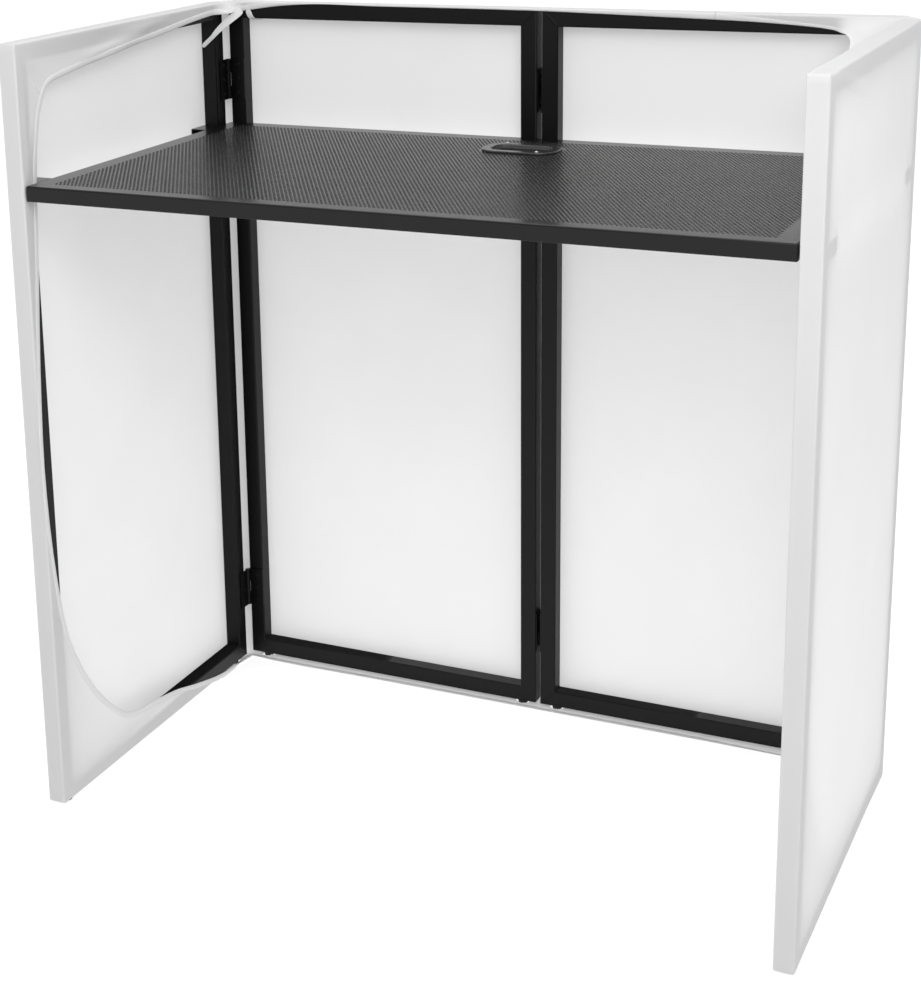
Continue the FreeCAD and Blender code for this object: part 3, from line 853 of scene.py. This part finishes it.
def halfCover(sign, topHem, nearHem):
    part = coverPart()
    plan = stationsOf()
    hemTop, hemNear, hemBottom = hemCurve(topHem), hemCurve(nearHem), hemCurve(bottomHem)
    grid = [[part.add((*station[1:3], z)) for z in faceLevels(station)] for station in plan]
    part.strip(grid)
    tops = [part.band(column[-1], topRun(station, hemTop)) for column, station in zip(grid, plan)]
    bottoms = [part.band(column[0], bottomRun(station, hemBottom))
               for column, station in zip(grid, plan)]

    def nearColumn(first, angle, run):  # column over the near post's edge
        out, y, z = part.points[first]
        turnY, turnZ = y - edge * math.sin(angle), z + edge * math.cos(angle)
        goal = hemNear(run) - np.array([skin, 0, 0])
        return part.band(first, [(out, turnY, turnZ), (inHalf - skin, turnY, turnZ), goal])

    nears = [nearColumn(grid[0][-1], math.radians(angle), nearStart + 4 * angle / 90)
             for angle in range(15, 90, 15)]
    for first in reversed(grid[0]):
        run = nearStart + frameRise - part.points[first][2]
        nears.append(nearColumn(first, math.pi / 2, run))
    nears += [nearColumn(grid[0][0], math.radians(angle), nearEnd) for angle in range(105, 180, 15)]
    columns = list(reversed(tops)) + nears + bottoms
    part.strip(columns)
    return part, worldOf(foldedPoints(np.array(part.points)), sign), columns


def foldedPoints(points):
    # raises soft ridges along lines on the inner flaps, the outer face and the near strip
    moved = points.copy()
    faces = {  # points that a fold lifts, and the axis and way of the lift
        "inner": (np.abs(points[:, 0] - (inHalf - skin)) < 0.4, 0, -1),
        "outer": (points[:, 0] > outerHalf / mm + skin / 2, 0, 1),
        "near": (points[:, 1] < nearY - skin / 2, 1, -1),
    }
    for side, rows in folds.items():
        picked, axis, way = faces[side]
        for begin, finish, wide, high in rows:
            run = np.array(finish, float) - np.array(begin, float)
            long = np.linalg.norm(run)
            offset = points[:, [1 - axis, 2]] - np.array(begin, float)
            share = offset @ run / long ** 2
            away = np.abs(offset[:, 0] * run[1] - offset[:, 1] * run[0]) / long
            taper = np.clip(np.sin(np.pi * np.clip(share, 0, 1)), 0, 1) ** 0.8
            lift = high * np.exp(-(away / wide) ** 2) * taper
            moved[:, axis] += way * np.where(picked, lift, 0)
    return moved


footSpots = []
for body in frameBodies:
    low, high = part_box(body + "_feet")
    radius = min(high.x - low.x, high.y - low.y) / 2
    footSpots.append((low.x + radius, low.y + radius, radius))
    footSpots.append((high.x - radius, high.y - radius, radius))


def roundFoot(face):  # whether a face of the underside lies where a foot comes through
    spot = face.calc_center_median()
    return spot.z < frameBottom and any(
        math.hypot(spot.x - x, spot.y - y) < radius + coverLook["footGap"]
        for x, y, radius in footSpots)


def openForFeet(bm):
    bmesh.ops.delete(bm, geom=[face for face in bm.faces if roundFoot(face)], context="FACES")


def clothPiece(name, points, faces):
    piece = meshPiece(name, points, faces, coverKnit)
    remesh(piece.data, mergeClose, openForFeet)
    return piece


hemLook = {
    "wide": 4.3 * mm, "thick": 0.85 * mm, "steps": 10, "spacing": 1.5 * mm, "gather": 0.06,
    "gatherTurn": 1.9, "lap": 0.9, "floor": 0.3 * mm, "taper": 120.0 * mm,
}


def hemRope(name, world, columns, slim=0):
    # rolled hem: an oval roll along the cover's edge, with slight gathers, and slimmer away from
    # its ends
    points = []
    steps = hemLook["steps"]
    path = [Vector(world[column[-1]]) for column in columns]
    before = [Vector(world[column[-2]]) for column in columns]
    kept = [0]
    for index in range(1, len(path)):
        if (path[index] - path[kept[-1]]).length > hemLook["spacing"]:
            kept.append(index)
    ahead = [(path[kept[min(step + 1, len(kept) - 1)]] - path[kept[max(step - 1, 0)]]).normalized()
             for step in range(len(kept))]
    normals = []
    for step, index in enumerate(kept):
        normal = ahead[step].cross(path[index] - before[index])
        if normal.length < 1e-9:
            normal = normals[-1]
        normal = normal.normalized()
        if normals and normal.dot(normals[-1]) < 0:
            normal = -normal
        normals.append(normal)
    for step, index in enumerate(kept):
        normal = sum(normals[max(step - 2, 0):step + 3], Vector()).normalized()
        across = ahead[step].cross(normal).normalized()
        if across.dot(path[index] - before[index]) < 0:
            across = -across
        far = min((path[index] - path[0]).length, (path[index] - path[-1]).length)
        fat = 1 + hemLook["gather"] * math.sin(step * hemLook["gatherTurn"])
        fat *= 1 - slim * min(far / hemLook["taper"], 1)
        # the roll lies on the cloth's last few mm, and stays below the cover's top
        room = (frameTop + coverLook["skin"] - path[index].z) / (1 + hemLook["lap"])
        wide, thick = min(fat * hemLook["wide"], room), fat * hemLook["thick"]
        middle = path[index] - across * (hemLook["lap"] * wide)
        for turn in range(steps):
            angle = 2 * math.pi * turn / steps
            point = middle + across * (wide * math.cos(angle)) + normal * (thick * math.sin(angle))
            point.z = max(point.z, hemLook["floor"])
            points.append(point)
    faces = ringFaces(len(kept), steps)
    for ring in (points[:steps], points[-steps:]):  # ends of their own, so that no edge is shared
        faces.append(tuple(range(len(points), len(points) + steps)))
        points += ring
    piece = meshPiece(name, points, faces, hemKnit)
    remesh(piece.data)
    return piece


# the cover is cut about 8 % shorter each way than on the frames; here it is drawn stretched on them
halves = {  # the last number is the share of the hem's size lost round the corner
    "left": (-1, topLeftHem, nearLeftHem, 0),
    "right": (1, topRightHem, nearRightHem, 0.5),
}
for hand, (sign, topHem, nearHem, slim) in halves.items():
    part, world, columns = halfCover(sign, topHem, nearHem)
    cloth = clothPiece(hand + "Cover", world, part.faces)
    rope = hemRope(hand + "CoverHem", world, columns, slim)
    for piece in (cloth, rope):
        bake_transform(piece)
    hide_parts(hand + "_side_cover", "front_" + hand + "_cover")
    print(hand, "cover:", len(cloth.data.polygons), "faces, area",
          round(sum(face.area for face in cloth.data.polygons), 3), "square metres")

# middle of the front: over the gap between the front frames, bulged by the hinge knuckles
middleLook = {"bulge": 4.9, "bulgeHalf": 11, "knuckleHalf": 32, "fade": 45, "hingeRise": 120,
              "under": (4.0, -10.0)}
middleTop = hemCurve([(-260, 0, 0, 1098.4), (-49, 0, 0, 1098), (0, 0, 0, 1097.6),
                      (97, 0, 0, 1095.7), (171, 0, 0, 1094), (260, 0, 0, 1091.8)])
hingeLevels = [frameRise - middleLook["hingeRise"], middleLook["hingeRise"]]


def bulgeAt(out, z):
    bulge = 0.0
    for level in hingeLevels:
        far = max(abs(z - level) - middleLook["knuckleHalf"], 0) / middleLook["fade"]
        bulge = max(bulge, middleLook["bulge"] * math.exp(-far ** 2)
                    * math.exp(-(out / middleLook["bulgeHalf"]) ** 2))
    return bulge


def middleCover():
    part = coverPart()
    split = coverLook["split"]
    high = frameRise + skin
    tops = []
    bottoms = []
    grid = []
    for out in np.concatenate([np.linspace(-split, -40, 23), np.linspace(-36, 36, 25),
                               np.linspace(40, split, 23)]):
        station = (out, out, frontY, "front")
        low = lowOf(station)
        column = [part.add((out, frontY + bulgeAt(out, z), z)) for z in faceLevels(station)]
        grid.append(column)
        tops.append(part.band(column[-1], [(out, frontY, high), (out, -skin, high),
                                           (out, -skin, middleTop(out)[2])]))
        under = [(out, y, low) for y in (frontY, *middleLook["under"])]
        bottoms.append(part.band(column[0], under))
    for columns in (grid, tops, bottoms):
        part.strip(columns)
    return part, worldOf(np.array(part.points)), tops, bottoms


part, world, tops, bottoms = middleCover()
cloth = clothPiece("middleCover", world, part.faces)
ropes = [hemRope("middleCoverTopHem", world, tops), hemRope("middleCoverBottomHem", world, bottoms)]
for piece in [cloth] + ropes:
    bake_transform(piece)
print("cover stretched")

# elastic tie straps at the left corner, each along a path of (place, outward, width), with places
# as (x, y, z) in mm like the hems
strapLook = {
    "thick": 0.9 * mm,
    "section": [(-1, 0.3), (-0.9, 1), (0.9, 1), (1, 0.3), (0.9, -0.4), (-0.9, -0.4)],
    "corner": [
        ((-489, -4, 1089), (0.2, -1, 0.1), 13), ((-497, -14, 1080), (0.3, -0.9, 0.2), 12.5),
        ((-507, -29, 1069), (0.4, -0.9, 0.1), 11), ((-516, -41, 1057), (0.3, -1, 0), 8.5),
        ((-521, -43, 1050), (0, -1, 0), 7), ((-531, -43, 1042), (0, -1, 0), 7),
        ((-541, -43, 1033), (0, -1, 0), 7.5),
    ],
    "post": [
        ((-481, -1.8, 1089), (0, -1, 0), 10), ((-478, -1.6, 1082), (0, -1, 0), 10),
        ((-474.5, -1.4, 1075.5), (0, -1, -0.3), 9), ((-472, 5, 1073.4), (0, -0.3, -1), 9),
        ((-466, 22, 1072.6), (0, 0, -1), 8),
    ],
}


def ribbon(name, path):
    points = []
    section = strapLook["section"]
    spots = [Vector((x, baseY + y, baseZ + z)) for (x, y, z), _, _ in path]
    for index, (_, out, wide) in enumerate(path):
        run = spots[min(index + 1, len(path) - 1)] - spots[max(index - 1, 0)]
        across = run.cross(Vector(out).normalized()).normalized()
        out = across.cross(run).normalized()
        for side, lift in section:
            points.append(spots[index] * mm + across * (side * wide * mm / 2)
                          + out * (lift * strapLook["thick"]))
    count = len(section)
    faces = ringFaces(len(path), count)
    faces.append(tuple(reversed(range(count))))
    faces.append(tuple(range(len(points) - count, len(points))))
    piece = meshPiece(name, points, faces, strapElastic)
    return settled(piece, "SUBSURF", levels=2, render_levels=2)


sideStrap = ribbon("cornerTieStrap", strapLook["corner"])
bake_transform(sideStrap)
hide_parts("left_side_strap")
frontStrap = ribbon("postTieStrap", strapLook["post"])
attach(frontStrap, "front_left")
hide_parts("front_left_strap")
print("straps tied")

# floor, light and camera
stageLook = {
    "floor": "#959595", "floorGlow": 0.81, "reach": 40, "sky": 1.0, "cameraSide": 0.45,
    "brightWay": (-0.5, 1.0, 0.35), "from": -0.75, "to": 0.35,
    # soft boxes: place, aim, width and height in metres, power in watts
    "lamps": {
        "overheadBox": ((-0.3, 0.2, 4.2), (0, 0.1, 0.6), 4.0, 3.0, 40),
        "frontBox": ((0.6, -1.9, 1.9), (-0.1, 0.2, 0.8), 1.2, 1.2, 14),
        "sideBox": ((1.3, -1.7, 2.5), (-0.2, 0.1, 0.9), 1.2, 1.2, 19),
    },
}


def makeStage():
    reach = stageLook["reach"]
    mesh = bpy.data.meshes.new("floor")
    corners = ((-1, -1), (1, -1), (1, 1), (-1, 1))
    mesh.from_pydata([(x * reach, y * reach, 0) for x, y in corners], [], [(0, 1, 2, 3)])
    mesh.materials.append(startMaterial("paleFloor", {
        "Roughness": 0.9, "Base Color": linear(stageLook["floor"]),
        "Emission Color": (1, 1, 1, 1), "Emission Strength": stageLook["floorGlow"],
    })[0])
    linked("floor", mesh)
    studio = bpy.data.worlds.new("studio")
    studio.use_nodes = True
    tree = studio.node_tree
    tree.nodes.clear()
    place = addNode(tree, "ShaderNodeTexCoord").outputs["Generated"]
    level = addNode(tree, "ShaderNodeMapRange", {
        "From Min": stageLook["from"], "From Max": stageLook["to"],
        "To Min": stageLook["cameraSide"], "To Max": stageLook["sky"],
    }, {"Value": dotOf(tree, place, stageLook["brightWay"])}, interpolation_type="SMOOTHSTEP")
    sky = addNode(tree, "ShaderNodeBackground", {"Color": (1, 1, 1, 1)},
                  {"Strength": level.outputs["Result"]})
    addNode(tree, "ShaderNodeOutputWorld", links={"Surface": sky.outputs["Background"]})
    bpy.context.scene.world = studio


def softBox(name, spot, aim, wide, high, power):
    lamp = bpy.data.lights.new(name, "AREA")
    lamp.shape = "RECTANGLE"
    lamp.size, lamp.size_y, lamp.energy = wide, high, power
    box = linked(name, lamp)
    box.location = spot
    box.rotation_euler = (Vector(aim) - Vector(spot)).to_track_quat("-Z", "Y").to_euler()


makeStage()
for name, values in stageLook["lamps"].items():
    softBox(name, *values)

# camera as solved from the photograph, an off-centre crop; about two thirds of its shift, so that
# other views keep the booth in the picture
cameraLook = {
    "spot": (983.66, -2669.88, 1392.95), "yaw": 0.4575, "pitch": 0.26, "roll": -0.0246,
    "focus": 1937.5, "middle": (342.1, 320.5), "picture": (921, 982), "sensor": 36,
}


def setCamera():
    yaw, pitch, roll = cameraLook["yaw"], cameraLook["pitch"], cameraLook["roll"]
    ahead = Vector((-math.sin(yaw) * math.cos(pitch), math.cos(yaw) * math.cos(pitch),
                    -math.sin(pitch)))
    side = Vector((math.cos(yaw), math.sin(yaw), 0))
    above = side.cross(ahead)
    tiltSide = side * math.cos(roll) + above * math.sin(roll)
    tiltAbove = above * math.cos(roll) - side * math.sin(roll)
    lens = bpy.data.cameras.new("camera")
    view = linked("camera", lens)
    turn = Matrix((tiltSide, tiltAbove, -ahead)).transposed().to_4x4()
    x, y, z = cameraLook["spot"]
    spot = Matrix.Translation((x * mm, y * mm + frontInner, z * mm + frameBottom))
    view.matrix_world = spot @ turn
    wide, high = cameraLook["picture"]
    lens.sensor_width = cameraLook["sensor"]
    lens.lens = cameraLook["sensor"] * cameraLook["focus"] / high
    lens.shift_x = (wide / 2 - cameraLook["middle"][0]) / high
    lens.shift_y = (cameraLook["middle"][1] - high / 2) / high
    lens.clip_end = 200
    bpy.context.scene.camera = view


setCamera()
bpy.context.scene.view_settings.view_transform = "Standard"
print("stage set")
